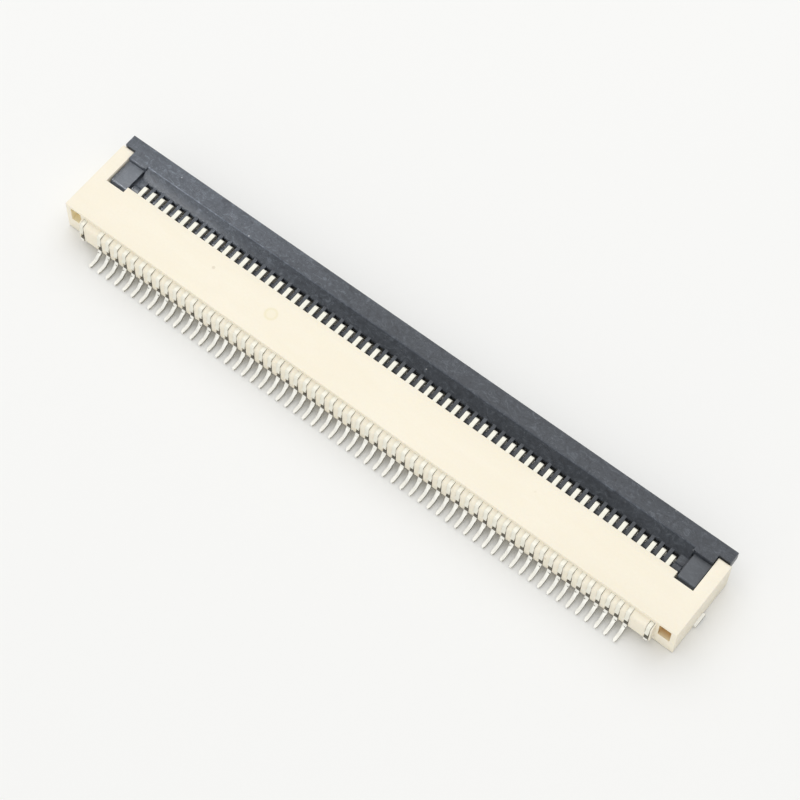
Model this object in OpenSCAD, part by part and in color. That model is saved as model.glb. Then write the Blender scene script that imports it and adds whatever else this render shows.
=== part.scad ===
// Low-profile surface-mount connector for flat flexible cable, 0.5 mm pitch,
// with a flip lock along its mouth. Millimetres.
// X runs along the row of contacts, +Y towards the cable mouth, +Z up,
// Z = 0 is the solder plane. The origin is the middle of the footprint.

/* [Contacts] */
// Contacts in each of the twenty contact groups
pins_per_group = 3; // [1:1:3]
// Distance from one contact to the next
pitch = 0.5; // [0.5:0.05:0.7]
// Thickness of the stamped contact strip
contact_t = 0.21; // [0.18:0.01:0.23]
// Thickness of the foot that is soldered to the board
foot_t = 0.15; // [0.12:0.01:0.18]

/* [Housing] */
// Height of the housing's top face
housing_h = 1.88; // [1.86:0.01:1.94]
// Distance from the outermost contact to the housing's side
end_margin = 2.25; // [2.25:0.05:3]
// Front edge of the top plate, behind the exposed beam tips
top_front_y = 0.64; // [0.56:0.01:0.64]
// Rear edge of the top plate
top_rear_y = -1.76; // [-1.80:0.01:-1.72]
// Rear face of the ledge that holds the contacts
ledge_y = -2.11; // [-2.12:0.01:-2.08]
// Front end of the two side arms
arm_tip_y = 2.28; // [2.00:0.02:2.28]
// Width of each side arm
arm_w = 0.65; // [0.6:0.05:0.7]
// Height of the slot the cable slides into
slot_h = 0.42; // [0.36:0.01:0.44]
// Depth of the moulded pocket in each rear corner
pocket_d = 0.55; // [0.2:0.05:0.6]

/* [Flip lock] */
// Height of the top of the closed lock
lock_h = 1.98; // [1.92:0.01:2.00]
// Front edge of the lock's lifting lip
lip_front_y = 2.93; // [2.80:0.01:3.00]
// Radius of the camshaft under the beams
shaft_r = 0.15; // [0.12:0.01:0.15]
// Radius of the pivot pins at the ends of the camshaft
pivot_r = 0.20; // [0.16:0.01:0.20]
// Running clearance round each pivot pin
pivot_gap = 0.03; // [0.02:0.01:0.05]
// Angle of the lock, 0 closed and 90 open
lock_angle = 0; // [0:5:90]

/* [Solder tabs] */
// Thickness of the tab's foot
tab_t = 0.15; // [0.12:0.01:0.15]
// How far each foot shows beyond the housing's side
tab_out = 0.13; // [0.05:0.01:0.3]

/* [Hidden] */
GROUPS = 20;
n = GROUPS * pins_per_group;
span = (n - 1) * pitch;
// half width of the housing, of the cable slot and of the inner sides of the arms
w2 = span / 2 + end_margin;
slot_w2 = span / 2 + 0.58;
arm_in = w2 - arm_w;
// camshaft centre
cam_y = 0.93;
cam_z = 1.36;
// cable slot
slot_z0 = 0.72;
slot_y0 = -0.80;
// levels
floor_z = 0.08;
beam_z1 = 1.70;
beam_tip_y = 1.29;
recess_y = 0.32;
lip_rear_y = 2.31;
crease_y = 2.02;
// half widths across X of the parts of the lock
lock_w2 = arm_in - 0.06;
lip_w2 = w2 - 0.11;
// free width round each beam, and what is left between two windows
window_w = contact_t + 0.12;
// front edge of the windows that the beams reach into
window_y = 1.50;
tab_x = slot_w2 + 0.47;

// position along X of contact i, counted from 0
function cx(i) = i * pitch - span / 2;

// a Y-Z outline drawn out along X from x0 to x1
module slab(x0, x1) {
  translate([x0, 0, 0]) rotate([90, 0, 90]) linear_extrude(x1 - x0) children();
}

// the same slab at both ends of the row
module both(x0, x1) {
  slab(x0, x1) children();
  slab(-x1, -x0) children();
}

module block(x0, x1, y0, y1, z0, z1) {
  translate([x0, y0, z0]) cube([x1 - x0, y1 - y0, z1 - z0]);
}

module block_both(x0, x1, y0, y1, z0, z1) {
  block(x0, x1, y0, y1, z0, z1);
  block(-x1, -x0, y0, y1, z0, z1);
}

// ---------------------------------------------------------------- housing

// outline of the middle of the housing: top plate, rear ledge, floor, cable slot
module core_outline() {
  polygon([
    [top_front_y, housing_h], [top_rear_y, housing_h], [top_rear_y, 1.62],
    [ledge_y + 0.16, 1.58], [ledge_y + 0.05, 1.54], [ledge_y, 1.46],
    [ledge_y, 0.42], [-1.90, 0.42], [-1.90, floor_z],
    [1.95, floor_z], [1.95, 0.54], [1.77, slot_z0],
    [slot_y0, slot_z0], [slot_y0, slot_z0 + slot_h],
    [top_front_y - 0.10, slot_z0 + slot_h], [top_front_y, slot_z0 + slot_h + 0.08]]);
}

// outline of the ledge alone, where it runs past the cable slot
module ledge_outline() {
  polygon([
    [top_rear_y + 0.2, 1.62], [top_rear_y, 1.62],
    [ledge_y + 0.16, 1.58], [ledge_y + 0.05, 1.54], [ledge_y, 1.46],
    [ledge_y, 0.42], [top_rear_y + 0.2, 0.42]]);
}

// outline of a side arm, with a rounded upper front corner
module arm_outline() {
  r = 0.10;
  union() {
    polygon([
      [recess_y - 0.5, 0], [arm_tip_y, 0], [arm_tip_y, housing_h - r],
      [arm_tip_y - r, housing_h], [recess_y - 0.5, housing_h]]);
    translate([arm_tip_y - r, housing_h - r]) circle(r, $fn = 48);
  }
}

// the room round one contact
module contact_cavity() {
  // behind, where the strip is gripped
  block(-contact_t / 2, contact_t / 2, -1.84, -1.19, 0.28, 1.64);
  // groove across the ledge, open to the rear and the top
  block(-contact_t / 2 - 0.01, contact_t / 2 + 0.01, ledge_y - 0.2, top_rear_y, 0.2, 1.9);
  // in front, where the two beams are free
  slab(-contact_t / 2 - 0.03, contact_t / 2 + 0.03)
    polygon([[-1.20, 0.28], [1.74, 0.28], [1.74, slot_z0 + 0.1],
      [top_front_y + 0.1, slot_z0 + 0.1], [top_front_y + 0.1, beam_z1 + 0.02],
      [-1.20, beam_z1 + 0.02]]);
}

module housing() {
  color([0.96, 0.93, 0.85]) difference() {
    union() {
      slab(-slot_w2, slot_w2) core_outline();
      // the ledge runs on past the cable slot at each end
      both(slot_w2 - 0.01, tab_x + 0.18) ledge_outline();
      // end blocks behind the lock
      block_both(slot_w2 - 0.01, w2, top_rear_y, recess_y, 0, housing_h);
      // floor under the lock's end blocks
      block_both(slot_w2 - 0.01, arm_in + 0.01, recess_y - 0.01, 1.45, 0, 0.80);
      block_both(slot_w2 - 0.01, arm_in + 0.01, 1.44, arm_tip_y, 0, 1.08);
      // side arms
      both(arm_in, w2) arm_outline();
    }
    for (i = [0 : n - 1]) translate([cx(i), 0, 0]) contact_cavity();
    // moulded pockets in the rear corners
    block_both(w2 - 0.88, w2 - 0.27, top_rear_y - 1, top_rear_y + pocket_d, 0.80, housing_h - 0.16);
    // pivot bores in the arms
    for (s = [-1, 1]) translate([s * (arm_in + 0.14), cam_y, cam_z]) rotate([0, 90, 0])
      cylinder(h = 0.34, r = pivot_r + pivot_gap, center = true, $fn = 48);
    // slots for the solder tabs, open below, and the notches for their feet
    block_both(tab_x - 0.10, tab_x + 0.10, -1.86, 0.50, -1, 1.05);
    block_both(tab_x - 0.10, tab_x + 0.10, -1.86, -1.20, 0.4, 1.62);
    block_both(tab_x - 0.12, tab_x + 0.12, ledge_y - 0.2, top_rear_y, 0.2, 1.9);
    block_both(tab_x - 0.13, w2 + 1, -0.28, 0.54, -1, tab_t + 0.03);
  }
}

// --------------------------------------------------------------- contacts

// outline of one contact: foot, rear shoulder with its notch, gripped spine,
// fixed upper beam over the camshaft, and sprung lower beam with its contact point
module contact_outline() {
  difference() {
    polygon([
      // foot and tail, underside
      [-2.93, 0.02], [-2.91, 0], [-2.46, 0], [-2.38, 0.04], [-2.08, 0.33], [-2.00, 0.36],
      [-1.84, 0.36], [-1.84, 0.30], [-1.15, 0.30],
      // lower beam, underside and point
      [1.20, 0.42], [1.62, 0.47], [1.66, 0.51], [1.66, 0.60],
      [1.48, 0.78], [1.38, 0.79], [1.28, 0.75], [1.08, 0.60], [-0.90, 0.56],
      // inner side of the spine, with generous fillets
      [-1.02, 0.62], [-1.06, 0.72], [-1.06, 1.36], [-1.02, 1.46], [-0.92, 1.50],
      // fixed beam, underside, and hook in front of the camshaft
      [0.60, 1.50], [0.74, 1.44], [beam_tip_y - 0.02, 1.44], [beam_tip_y, 1.47],
      [beam_tip_y, 1.60], [beam_tip_y - 0.03, 1.66], [beam_tip_y - 0.09, beam_z1],
      // top of the beam, then down to the shoulder behind the top plate
      [-1.19, beam_z1], [-1.19, 1.64], [-2.04, 1.64], [-2.10, 1.60], [-2.12, 1.54],
      // rear face of the shoulder, its swell and the notch above the tail
      [-2.12, 1.24], [-2.18, 1.10], [-2.18, 0.97], [-1.96, 0.95], [-1.96, 0.58], [-2.16, 0.56],
      // tail and foot, upper side
      [-2.17, 0.50], [-2.20, 0.42], [-2.44, 0.19], [-2.51, foot_t],
      [-2.91, foot_t], [-2.93, foot_t - 0.02]]);
    // seat for the camshaft
    translate([cam_y, cam_z]) circle(r = shaft_r + 0.03, $fn = 48);
  }
}

// plan outline: the tail is a little narrower than the shoulder, and each foot narrows at its end
module foot_plan() {
  polygon([
    [-contact_t / 2, 2], [-contact_t / 2, -2.21], [-contact_t / 2 + 0.02, -2.28],
    [-contact_t / 2 + 0.02, -2.81], [-contact_t / 2 + 0.06, -2.93],
    [contact_t / 2 - 0.06, -2.93], [contact_t / 2 - 0.02, -2.81],
    [contact_t / 2 - 0.02, -2.28], [contact_t / 2, -2.21], [contact_t / 2, 2]]);
}

module contact_group(g) {
  color([0.86, 0.86, 0.83]) for (k = [0 : pins_per_group - 1])
    translate([cx(g * pins_per_group + k), 0, 0]) intersection() {
      slab(-contact_t / 2 - 0.01, contact_t / 2 + 0.01) contact_outline();
      translate([0, 0, -0.1]) linear_extrude(2.2) foot_plan();
    }
}

// ------------------------------------------------------------ solder tabs

// upright plate gripped in the housing, and a foot that reaches out sideways
module solder_tab_right() {
  color([0.82, 0.82, 0.80]) union() {
    slab(tab_x - 0.10, tab_x + 0.10)
      polygon([
        [-2.18, 1.10], [-2.12, 1.24], [-2.12, 1.50], [-2.09, 1.56], [-2.03, 1.60], [-1.20, 1.60],
        [-1.20, 1.05], [0.50, 1.05], [0.50, 0.02], [0.48, 0], [-0.22, 0],
        [-0.24, 0.02], [-0.24, 0.30], [-1.10, 0.38], [-2.06, 0.34], [-2.17, 0.40],
        [-2.17, 0.56], [-1.96, 0.58], [-1.96, 0.95], [-2.18, 0.97]]);
    // foot, flat on the board
    block(tab_x - 0.10, w2 + tab_out, -0.24, 0.50, 0, tab_t);
  }
}

module solder_tab_left() {
  mirror([1, 0, 0]) solder_tab_right();
}

// --------------------------------------------------------------- flip lock

// middle of the lock: sloping near band, flat far band, lifting lip
module lock_outline() {
  polygon([
    [window_y, 1.12], [2.24, 1.12], [2.46, 1.30],
    [lip_front_y - 0.04, 1.42], [lip_front_y, 1.46], [lip_front_y, lock_h - 0.03],
    [lip_front_y - 0.02, lock_h], [crease_y, lock_h], [window_y, 1.44]]);
}

// rib that joins the camshaft to the lock between two beams
module rib_outline() {
  polygon([
    [cam_y, cam_z - shaft_r], [1.22, 1.12], [window_y + 0.1, 1.12],
    [window_y + 0.1, 1.46], [window_y + 0.05, 1.50], [1.20, 1.50], [cam_y, cam_z + shaft_r]]);
}

// end of the lock, which sits lower in the housing's corner recess
module lock_end_outline() {
  union() {
    polygon([
      [cam_y, 1.12], [2.24, 1.12], [2.46, 1.30],
      [lip_front_y - 0.04, 1.42], [lip_front_y, 1.46], [lip_front_y, lock_h - 0.03],
      [lip_front_y - 0.02, lock_h], [1.86, lock_h], [1.82, lock_h - 0.04],
      [1.82, 1.72], [cam_y, 1.72]]);
    intersection() {
      translate([cam_y, cam_z]) circle(r = 0.50, $fn = 64);
      translate([0, 0]) square([1.5, 1.72]);
    }
  }
}

// lip that passes in front of the side arms, undercut so that it swings clear of them
module lip_outline() {
  polygon([
    [lip_rear_y + 0.05, 1.25], [2.46, 1.30], [lip_front_y - 0.04, 1.42], [lip_front_y, 1.46],
    [lip_front_y, lock_h - 0.03], [lip_front_y - 0.02, lock_h], [lip_rear_y, lock_h],
    [lip_rear_y, 1.72], [lip_rear_y + 0.05, 1.50]]);
}

// thin link beside the end blocks, leaving a groove between them and the middle
module link_outline() {
  polygon([
    [cam_y, cam_z - 0.1], [1.22, 1.12], [2.24, 1.12], [2.46, 1.30],
    [lip_front_y - 0.04, 1.42], [lip_front_y, 1.46], [lip_front_y, lock_h - 0.03],
    [lip_front_y - 0.02, lock_h], [1.86, lock_h], [1.78, 1.48], [cam_y, cam_z + 0.1]]);
}

module actuator() {
  color([0.20, 0.20, 0.22])
  translate([0, cam_y, cam_z]) rotate([lock_angle, 0, 0]) translate([0, -cam_y, -cam_z])
  union() {
    slab(-slot_w2 + 0.03, slot_w2 - 0.03) lock_outline();
    for (i = [0 : n - 2])
      slab(cx(i) + window_w / 2, cx(i + 1) - window_w / 2) rib_outline();
    both(span / 2 + window_w / 2, slot_w2 - 0.03) rib_outline();
    // camshaft and its pivot pins
    translate([0, cam_y, cam_z]) rotate([0, 90, 0])
      cylinder(h = 2 * (lock_w2 - 0.01), r = shaft_r, center = true, $fn = 48);
    for (s = [-1, 1]) translate([s * (lock_w2 + 0.10), cam_y, cam_z]) rotate([0, 90, 0])
      cylinder(h = 0.42, r = pivot_r, center = true, $fn = 48);
    // thicker cam beside the outermost beams
    for (s = [-1, 1]) translate([s * (slot_w2 - 0.03 - 0.185), cam_y, cam_z]) rotate([0, 90, 0])
      cylinder(h = 0.37, r = 0.24, center = true, $fn = 48);
    both(slot_w2 - 0.04, slot_w2 + 0.08) link_outline();
    both(slot_w2 + 0.07, lock_w2) lock_end_outline();
    both(lock_w2 - 0.01, lip_w2) lip_outline();
  }
}

housing();
actuator();
solder_tab_left();
solder_tab_right();
contact_group(0);  // contacts_01
contact_group(1);  // contacts_02
contact_group(2);  // contacts_03
contact_group(3);  // contacts_04
contact_group(4);  // contacts_05
contact_group(5);  // contacts_06
contact_group(6);  // contacts_07
contact_group(7);  // contacts_08
contact_group(8);  // contacts_09
contact_group(9);  // contacts_10
contact_group(10);  // contacts_11
contact_group(11);  // contacts_12
contact_group(12);  // contacts_13
contact_group(13);  // contacts_14
contact_group(14);  // contacts_15
contact_group(15);  // contacts_16
contact_group(16);  // contacts_17
contact_group(17);  // contacts_18
contact_group(18);  // contacts_19
contact_group(19);  // contacts_20
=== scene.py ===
import bpy, bmesh, math, random
from mathutils import Vector, Matrix


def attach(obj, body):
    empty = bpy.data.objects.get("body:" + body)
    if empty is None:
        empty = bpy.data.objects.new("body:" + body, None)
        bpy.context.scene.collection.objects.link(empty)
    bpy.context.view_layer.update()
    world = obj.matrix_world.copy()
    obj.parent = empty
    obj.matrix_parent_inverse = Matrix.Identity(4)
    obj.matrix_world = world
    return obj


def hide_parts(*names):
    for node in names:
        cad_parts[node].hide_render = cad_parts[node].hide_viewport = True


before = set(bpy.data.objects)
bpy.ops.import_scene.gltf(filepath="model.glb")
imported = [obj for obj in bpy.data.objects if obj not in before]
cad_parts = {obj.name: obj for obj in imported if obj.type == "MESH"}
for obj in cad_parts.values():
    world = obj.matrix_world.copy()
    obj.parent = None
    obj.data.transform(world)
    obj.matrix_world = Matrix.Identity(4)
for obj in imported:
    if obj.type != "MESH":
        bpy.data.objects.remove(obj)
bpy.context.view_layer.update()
scene = bpy.context.scene
MM = 0.001
PITCH = 0.5
N = 60


def cx(i):
    return (i - (N - 1) / 2) * PITCH


# ------------------------------------------------------------------ camera
AZ, EL, ROLL = math.radians(36.76), math.radians(62.67), math.radians(1.5)
DIST, LENS = 112.77 * MM, 114.03
target = Vector((0.524, 0.546, 0.0)) * MM
back = Vector((math.sin(AZ) * math.cos(EL), -math.cos(AZ) * math.cos(EL), math.sin(EL)))
right = Vector((math.cos(AZ), math.sin(AZ), 0))
up = back.cross(right)
right2 = right * math.cos(ROLL) + up * math.sin(ROLL)
up2 = up * math.cos(ROLL) - right * math.sin(ROLL)
cam_data = bpy.data.cameras.new("camera")
cam = bpy.data.objects.new("camera", cam_data)
scene.collection.objects.link(cam)
cam_data.lens, cam_data.sensor_width, cam_data.sensor_fit = LENS, 36.0, "AUTO"
cam_data.clip_start, cam_data.clip_end = 0.005, 10
pos = target + back * DIST
cam.matrix_world = Matrix((
    (right2.x, up2.x, back.x, pos.x),
    (right2.y, up2.y, back.y, pos.y),
    (right2.z, up2.z, back.z, pos.z),
    (0, 0, 0, 1)))
scene.camera = cam
scene.view_settings.view_transform = "Standard"
scene.view_settings.look = "None"
scene.view_settings.exposure = 0
scene.view_settings.gamma = 1


# ------------------------------------------------------------ node helpers
class NT:
    """Small helper for building a material's node tree. Lengths inside are millimetres."""

    def __init__(self, name):
        self.mat = bpy.data.materials.new(name)
        self.mat.use_nodes = True
        self.t = self.mat.node_tree
        self.b = self.t.nodes["Principled BSDF"]
        co = self.t.nodes.new("ShaderNodeTexCoord")
        mp = self.t.nodes.new("ShaderNodeMapping")
        mp.inputs["Scale"].default_value = (1000, 1000, 1000)
        self.link(co.outputs["Object"], mp.inputs["Vector"])
        self.p = mp.outputs["Vector"]

    def link(self, a, b):
        self.t.links.new(a, b)

    def scale(self, v, s):
        n = self.t.nodes.new("ShaderNodeVectorMath")
        n.operation = "MULTIPLY"
        self.link(v, n.inputs[0])
        n.inputs[1].default_value = s
        return n.outputs[0]

    def noise(self, scale, detail=3, rough=0.5, vec=None, dist=0.0):
        n = self.t.nodes.new("ShaderNodeTexNoise")
        n.inputs["Scale"].default_value = scale
        n.inputs["Detail"].default_value = detail
        n.inputs["Roughness"].default_value = rough
        n.inputs["Distortion"].default_value = dist
        self.link(vec or self.p, n.inputs["Vector"])
        return n.outputs["Fac"]

    def voronoi(self, scale, vec=None, feature="F1", rnd=1.0):
        n = self.t.nodes.new("ShaderNodeTexVoronoi")
        n.feature = feature
        n.inputs["Scale"].default_value = scale
        n.inputs["Randomness"].default_value = rnd
        self.link(vec or self.p, n.inputs["Vector"])
        return n.outputs["Distance"]

    def ramp(self, fac, stops, interp="LINEAR"):
        n = self.t.nodes.new("ShaderNodeValToRGB")
        n.color_ramp.interpolation = interp
        e = n.color_ramp.elements
        while len(e) < len(stops):
            e.new(0.5)
        for k, (p, c) in zip(e, stops):
            k.position = p
            k.color = (*c, 1) if len(c) == 3 else c
        self.link(fac, n.inputs["Fac"])
        return n.outputs["Color"]

    def math(self, op, a, b=None, clamp=False):
        n = self.t.nodes.new("ShaderNodeMath")
        n.operation = op
        n.use_clamp = clamp
        for k, v in enumerate((a, b)):
            if v is None:
                continue
            if isinstance(v, (int, float)):
                n.inputs[k].default_value = v
            else:
                self.link(v, n.inputs[k])
        return n.outputs[0]

    def mix(self, fac, a, b, mode="MIX"):
        n = self.t.nodes.new("ShaderNodeMix")
        n.data_type = "RGBA"
        n.blend_type = mode
        for key, v in (("Factor", fac), ("A", a), ("B", b)):
            sock = [s for s in n.inputs if s.name == key and s.enabled][0]
            if isinstance(v, (int, float)):
                sock.default_value = v
            elif isinstance(v, tuple):
                sock.default_value = (*v, 1)
            else:
                self.link(v, sock)
        return [s for s in n.outputs if s.enabled][0]

    def map(self, v, a, b, c, d):
        n = self.t.nodes.new("ShaderNodeMapRange")
        n.clamp = True
        self.link(v, n.inputs["Value"])
        for k, x in zip(("From Min", "From Max", "To Min", "To Max"), (a, b, c, d)):
            n.inputs[k].default_value = x
        return n.outputs["Result"]

    def sep(self, v):
        n = self.t.nodes.new("ShaderNodeSeparateXYZ")
        self.link(v, n.inputs[0])
        return n.outputs

    def bump(self, height, strength, dist_mm, normal=None):
        n = self.t.nodes.new("ShaderNodeBump")
        n.inputs["Strength"].default_value = strength
        n.inputs["Distance"].default_value = dist_mm * MM
        self.link(height, n.inputs["Height"])
        if normal is not None:
            self.link(normal, n.inputs["Normal"])
        return n.outputs["Normal"]

    def set(self, **kw):
        for k, v in kw.items():
            s = self.b.inputs[k.replace("_", " ")]
            if isinstance(v, (int, float)):
                s.default_value = v
            elif isinstance(v, tuple):
                s.default_value = (*v, 1) if len(v) == 3 and s.type == "RGBA" else v
            else:
                self.link(v, s)


# --------------------------------------------------------------- materials
def make_cream():
    m = NT("cream_lcp")
    flow = m.noise(0.55, 4, 0.55, m.scale(m.p, (0.35, 1.3, 1.0)), 0.8)
    fine = m.noise(9.0, 4, 0.6)
    grain = m.noise(38.0, 2, 0.5)
    col = m.ramp(flow, [(0.30, (0.872, 0.806, 0.660)), (0.70, (0.892, 0.832, 0.698))])
    col = m.mix(m.map(fine, 0.35, 0.75, 0.0, 0.35), col, (0.848, 0.778, 0.622))
    # a few dark specks of dust and regrind
    sp = m.voronoi(0.75)
    keep = m.noise(0.31, 1, 0.5)
    dots = m.math("MULTIPLY", m.map(sp, 0.05, 0.075, 1.0, 0.0), m.map(keep, 0.52, 0.54, 0.0, 1.0))
    col = m.mix(m.math("MULTIPLY", dots, 0.35), col, (0.52, 0.42, 0.28))
    # ejector-pin witness ring on the top face
    x, y, z = m.sep(m.p)[0:3]
    dx = m.math("ADD", x, 6.03)
    dy = m.math("ADD", y, 0.41)
    r = m.math("SQRT", m.math("ADD", m.math("MULTIPLY", dx, dx), m.math("MULTIPLY", dy, dy)))
    top = m.map(z, 1.84, 1.87, 0.0, 1.0)
    ring = m.math("MULTIPLY", m.map(m.math("ABSOLUTE", m.math("SUBTRACT", r, 0.27)), 0.02, 0.09, 1.0, 0.0), top)
    disc = m.math("MULTIPLY", m.map(r, 0.20, 0.32, 1.0, 0.0), top)
    col = m.mix(m.math("MULTIPLY", ring, 0.32), col, (0.74, 0.66, 0.36))
    col = m.mix(m.math("MULTIPLY", disc, 0.14), col, (0.80, 0.72, 0.42))
    # painted shade: the corner pockets are painted warmer inside, then darker and browner towards their depth, and
    # lighter on the left end where more light falls
    ax = m.math("ABSOLUTE", x)
    inside = m.math("MULTIPLY", m.map(ax, 16.09, 16.11, 0.0, 1.0), m.map(ax, 16.73, 16.75, 1.0, 0.0))
    inside = m.math("MULTIPLY", inside, m.map(z, 1.73, 1.75, 1.0, 0.0))
    inside = m.math("MULTIPLY", inside, m.map(z, 0.77, 0.79, 0.0, 1.0))
    inside = m.math("MULTIPLY", inside, m.map(y, -1.15, -1.10, 1.0, 0.0))
    pocket_shade_depth = m.math("MAXIMUM", m.map(y, -1.74, -1.46, 0.0, 1.0), m.math("MULTIPLY",
                   m.map(ax, 16.13, 16.16, 1.0, 0.0), m.map(y, -1.755, -1.66, 0.0, 1.0)))
    col = m.mix(m.math("MULTIPLY", inside, m.map(y, -1.76, -1.735, 0.0, 0.5)), col, (0.92, 0.82, 0.52))
    # painted shade for the pocket's depth, lighter at the left end than at the right
    pocket_shade_brown = m.mix(m.map(x, -16.0, 16.0, 0.0, 1.0), (0.90, 0.80, 0.54), (0.68, 0.48, 0.23))
    col = m.mix(m.math("MULTIPLY", inside, pocket_shade_depth), col, pocket_shade_brown)
    m.set(Base_Color=col, Roughness=m.map(fine, 0.3, 0.7, 0.40, 0.55), IOR=1.5)
    m.set(Subsurface_Weight=0.08, Subsurface_Scale=0.20 * MM)
    m.b.inputs["Subsurface Radius"].default_value = (1.0, 0.8, 0.5)
    h = m.math("ADD", m.math("MULTIPLY", grain, 0.5), fine)
    h = m.math("SUBTRACT", h, m.math("MULTIPLY", disc, 0.8))
    m.set(Normal=m.bump(h, 0.25, 0.004))
    return m.mat


def make_black(name="black_lcp", k=1.0, r0=0.32, r1=0.46):
    m = NT(name)
    x, y, z = m.sep(m.p)[0:3]
    cloud = m.noise(0.9, 5, 0.65, m.scale(m.p, (0.5, 1.4, 1.4)), 1.2)
    mott = m.noise(5.5, 4, 0.62, m.scale(m.p, (0.7, 1.0, 1.0)), 0.5)
    grain = m.noise(42.0, 2, 0.6)
    base = m.ramp(cloud, [(0.28, (0.024 * k, 0.030 * k, 0.039 * k)), (0.72, (0.046 * k, 0.053 * k, 0.066 * k))])
    base = m.mix(m.map(mott, 0.35, 0.75, 0.0, 0.6), base, (0.064 * k, 0.073 * k, 0.089 * k))
    base = m.mix(m.map(grain, 0.62, 0.80, 0.0, 0.35), base, (0.15, 0.16, 0.18))
    swirl = m.noise(2.6, 5, 0.72, m.scale(m.p, (0.8, 1.1, 1.1)), 1.6)
    base = m.mix(m.map(swirl, 0.53, 0.68, 0.0, 0.85), base, (0.105 * k, 0.120 * k, 0.142 * k))
    base = m.mix(m.map(swirl, 0.32, 0.47, 0.70, 0.0), base, (0.016 * k, 0.018 * k, 0.026 * k))
    speck = m.noise(11.0, 3, 0.7, None, 0.6)
    base = m.mix(m.map(speck, 0.60, 0.72, 0.0, 0.55), base, (0.15 * k, 0.165 * k, 0.19 * k))
    base = m.mix(m.map(speck, 0.30, 0.40, 0.5, 0.0), base, (0.012 * k, 0.013 * k, 0.017 * k))
    # painted sheen: the tops of the lower end blocks are painted a little lighter, for the light they catch
    end_block_sheen = m.math("MULTIPLY", m.map(m.math("ABSOLUTE", x), 15.36, 15.42, 0.0, 1.0), m.map(z, 1.69, 1.71, 0.0, 1.0))
    end_block_sheen = m.math("MULTIPLY", end_block_sheen, m.map(z, 1.73, 1.76, 1.0, 0.0))
    base = m.mix(m.math("MULTIPLY", end_block_sheen, 0.55), base, (0.105, 0.115, 0.130))
    # light scratches, long and thin, in two directions
    s1 = m.noise(2.2, 3, 0.75, m.scale(m.p, (0.25, 6.0, 3.0)), 0.25)
    s2 = m.noise(2.0, 3, 0.75, m.scale(m.p, (5.0, 0.5, 0.5)), 0.4)
    thin1 = m.map(m.math("ABSOLUTE", m.math("SUBTRACT", s1, 0.5)), 0.0, 0.006, 1.0, 0.0)
    thin2 = m.map(m.math("ABSOLUTE", m.math("SUBTRACT", s2, 0.52)), 0.0, 0.005, 1.0, 0.0)
    patch = m.map(m.noise(0.45, 2, 0.5), 0.50, 0.62, 0.0, 1.0)
    scr = m.math("MULTIPLY", m.math("MAXIMUM", thin1, thin2), patch, True)
    base = m.mix(m.math("MULTIPLY", scr, 0.35), base, (0.30, 0.32, 0.35))
    # dust specks
    d1 = m.map(m.voronoi(1.7), 0.045, 0.075, 1.0, 0.0)
    dk = m.map(m.noise(0.8, 1, 0.5), 0.55, 0.57, 0.0, 1.0)
    dust = m.math("MULTIPLY", d1, dk, True)
    base = m.mix(m.math("MULTIPLY", dust, 0.6), base, (0.55, 0.56, 0.56))
    rough = m.map(mott, 0.3, 0.7, r0, r1)
    m.set(Base_Color=base, Roughness=rough, IOR=1.52)
    h = m.math("ADD", m.math("MULTIPLY", grain, 0.6), mott)
    h = m.math("SUBTRACT", h, m.math("MULTIPLY", scr, 0.5))
    m.set(Normal=m.bump(h, 0.45, 0.010))
    return m.mat


def make_tin():
    """Matte tin, painted brighter low on the tails where they catch more light, and duller and warmer up on the
    shoulders as painted shade.
    """
    m = NT("tin_plate")
    z = m.sep(m.p)[2]
    fine = m.noise(16.0, 4, 0.6)
    drawn = m.noise(10.0, 3, 0.6, m.scale(m.p, (1.0, 0.25, 0.25)))
    patch = m.noise(2.3, 3, 0.55)
    tin_lit_low = m.ramp(patch, [(0.32, (0.915, 0.905, 0.840)), (0.68, (0.965, 0.955, 0.895))])
    tin_shaded_high = m.ramp(patch, [(0.32, (0.82, 0.80, 0.69)), (0.68, (0.885, 0.865, 0.765))])
    # painted light: brighter tin low down, duller and warmer tin up on the shoulders
    col = m.mix(m.map(z, 0.50, 0.95, 0.0, 1.0), tin_lit_low, tin_shaded_high)
    col = m.mix(m.map(fine, 0.4, 0.8, 0.0, 0.3), col, (0.72, 0.71, 0.65))
    m.set(Base_Color=col, Metallic=0.18, Roughness=m.map(drawn, 0.3, 0.7, 0.34, 0.50))
    m.set(Normal=m.bump(m.math("ADD", fine, drawn), 0.3, 0.003))
    return m.mat


def make_sheared(name, lo, hi, metal):
    """Dull, dark strip metal: the sheared sides of the strip, where the copper alloy shows through the plating, painted
    darker still as painted shade, and the inside of the notch above the tail.
    """
    m = NT(name)
    streak = m.noise(12.0, 3, 0.6, m.scale(m.p, (1.0, 0.3, 1.4)))
    patch = m.noise(3.1, 3, 0.55)
    col = m.ramp(patch, [(0.32, lo), (0.68, hi)])
    col = m.mix(m.map(streak, 0.4, 0.8, 0.0, 0.4), col, tuple(0.7 * v for v in lo))
    m.set(Base_Color=col, Metallic=metal, Roughness=m.map(streak, 0.3, 0.7, 0.40, 0.60))
    m.set(Normal=m.bump(streak, 0.4, 0.004))
    return m.mat


cream = make_cream()
black = make_black()
# painted highlight: the lock's rounded edges get this copy of the black, 1.9 times lighter in colour for the highlights
# its edges catch, and glossier
black_highlight_edge = make_black("black_lcp_highlight_edge", 1.9, 0.28, 0.38)
tin = make_tin()
# painted shade: the sheared sides are painted darker than the tin, for the dark lines of shade along each side of the
# strip
sheared_side_shade = make_sheared("sheared_edge_shade", (0.40, 0.385, 0.33), (0.54, 0.515, 0.45), 0.4)
# painted shade: the inside of the notch above each tail is painted dark where there is only shade
notch_shade = make_sheared("notch_painted_shade", (0.17, 0.16, 0.135), (0.25, 0.235, 0.20), 0.4)


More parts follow.
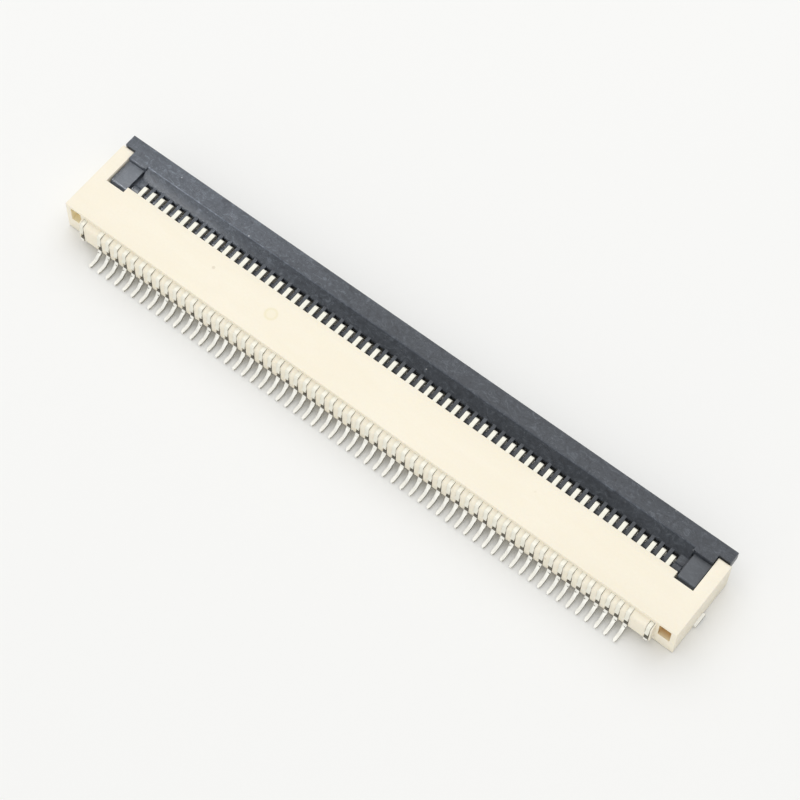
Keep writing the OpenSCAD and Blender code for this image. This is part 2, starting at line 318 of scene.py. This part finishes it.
# ---------------------------------------------------- finer copies of nodes
def refined(node_name, materials, width, segments, dissolve=0.2, angle=25, edge=-1, pick=None, wide=None):
    """A copy of a CAD node whose sharp edges are rounded, as moulding and stamping leave them.
    The work is done in millimetres, then brought back to metres. edge is the material of the
    rounded edges, pick gives the material of a face from its centre and normal, and wide says
    which points lie on edges that are rounded more."""
    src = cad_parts[node_name]
    bm = bmesh.new()
    bm.from_mesh(src.data)
    bmesh.ops.scale(bm, vec=(1000, 1000, 1000), verts=bm.verts)
    bmesh.ops.remove_doubles(bm, verts=bm.verts, dist=0.0008)
    bmesh.ops.dissolve_limit(bm, angle_limit=math.radians(dissolve), verts=bm.verts, edges=bm.edges)
    if wide:
        first = [e for e in bm.edges if all(wide(v.co) for v in e.verts) and e.calc_face_angle(0) > math.radians(angle)]
        bmesh.ops.bevel(bm, geom=first, offset=2.2 * width, offset_type="OFFSET", segments=3, profile=0.5,
                        affect="EDGES", clamp_overlap=True, harden_normals=False, material=edge)
    edges = [e for e in bm.edges if len(e.link_faces) == 2 and e.calc_face_angle(0) > math.radians(angle)]
    bmesh.ops.bevel(bm, geom=edges, offset=width, offset_type="OFFSET", segments=segments, profile=0.5,
                    affect="EDGES", clamp_overlap=True, harden_normals=False, material=edge)
    bmesh.ops.triangulate(bm, faces=[f for f in bm.faces if len(f.verts) > 4])
    if pick:
        for f in bm.faces:
            f.material_index = pick(f.calc_center_median(), f.normal)
    bmesh.ops.scale(bm, vec=(MM, MM, MM), verts=bm.verts)
    me = bpy.data.meshes.new(node_name + "_fine")
    bm.to_mesh(me)
    bm.free()
    for p in me.polygons:
        p.use_smooth = True
    o = bpy.data.objects.new(node_name + "_fine", me)
    scene.collection.objects.link(o)
    for m in materials:
        me.materials.append(m)
    me.set_sharp_from_angle(angle=math.radians(24))
    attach(o, "lock" if node_name == "actuator" else "base")
    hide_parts(node_name)
    fine.append(o)
    return o


def strip_face(c, n):
    """Sheared sides of the strip, and the inside of the notch above the tail, which is painted dark as painted shade;
    in millimetres.
    """
    if abs(n.x) > 0.9:
        return 1
    return 2 if -2.175 < c.y < -1.90 and 0.565 < c.z < 0.965 else 0


fine = []
housing = refined("housing", [cream], 0.030, 2)
def highlight_edge_points(co):
    """The crease between the lock's two bands, and the upper rear edge of its end blocks, which are rounded more to
    carry a painted highlight.
    """
    return ((abs(co.y - 2.02) < 0.003 and abs(co.z - 1.98) < 0.003)
            or (0.55 < co.y < 0.62 and abs(co.z - 1.72) < 0.003 and abs(co.x) > 15.3))


lock = refined("actuator", [black, black_highlight_edge], 0.024, 2, edge=1, wide=highlight_edge_points)
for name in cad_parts:
    if name.startswith("contacts"):
        o = refined(name, [tin, sheared_side_shade, notch_shade], 0.014, 2, pick=strip_face)
    elif name.startswith("solder_tab"):
        o = refined(name, [tin, sheared_side_shade, notch_shade], 0.014, 2, pick=strip_face)

# ------------------------------------------------------------------- stage
bpy.ops.mesh.primitive_plane_add(size=3.0, location=(0, 0, -0.00002))
floor = bpy.context.object
floor.name = "floor"
fl = NT("floor_paper")
fl.set(Base_Color=(0.92, 0.92, 0.907), Roughness=0.9)
fl.b.inputs["Specular IOR Level"].default_value = 0.2
floor.data.materials.append(fl.mat)


def area(name, loc, size, power, look=(0, 0, 0), color=(1, 1, 1)):
    d = bpy.data.lights.new(name, "AREA")
    d.shape = "RECTANGLE"
    d.size, d.size_y = size
    d.energy = power
    d.color = color
    o = bpy.data.objects.new(name, d)
    scene.collection.objects.link(o)
    o.location = loc
    o.rotation_mode = "QUATERNION"
    o.rotation_quaternion = (Vector(loc) - Vector(look)).to_track_quat("Z", "Y")
    return o


world = bpy.data.worlds.new("studio")
scene.world = world
world.use_nodes = True
world.node_tree.nodes["Background"].inputs["Color"].default_value = (1.0, 1.0, 0.995, 1)
world.node_tree.nodes["Background"].inputs["Strength"].default_value = 0.56
# one very large soft box overhead, a little behind and to the left
area("softbox", (-0.11, 0.16, 0.45), (0.80, 0.80), 2.20)
# low light from behind for the ledge and the tails, and a small lamp low on the left that
# shines along the lock only, which its edges and near slope mirror at their left end
fill = area("fill", (0.05, -0.30, 0.10), (0.40, 0.12), 0.30)
lamp = area("lamp", (-0.0222, -0.0154, 0.0115), (0.006, 0.004), 0.000085, look=(-0.0128, 0.0018, 0.0017))
lamp.data.spread = math.radians(45)
rim = area("rim", (-0.0206, -0.0053, 0.0205), (0.005, 0.005), 0.00026, look=(-0.0125, 0.0020, 0.0019))
rim.data.spread = math.radians(45)
for light, pieces in ((fill, [o for o in fine if o is not lock]), (lamp, [lock]), (rim, [lock])):
    group = bpy.data.collections.new(light.name + "_on")
    for o in pieces:
        group.objects.link(o)
    light.light_linking.receiver_collection = group
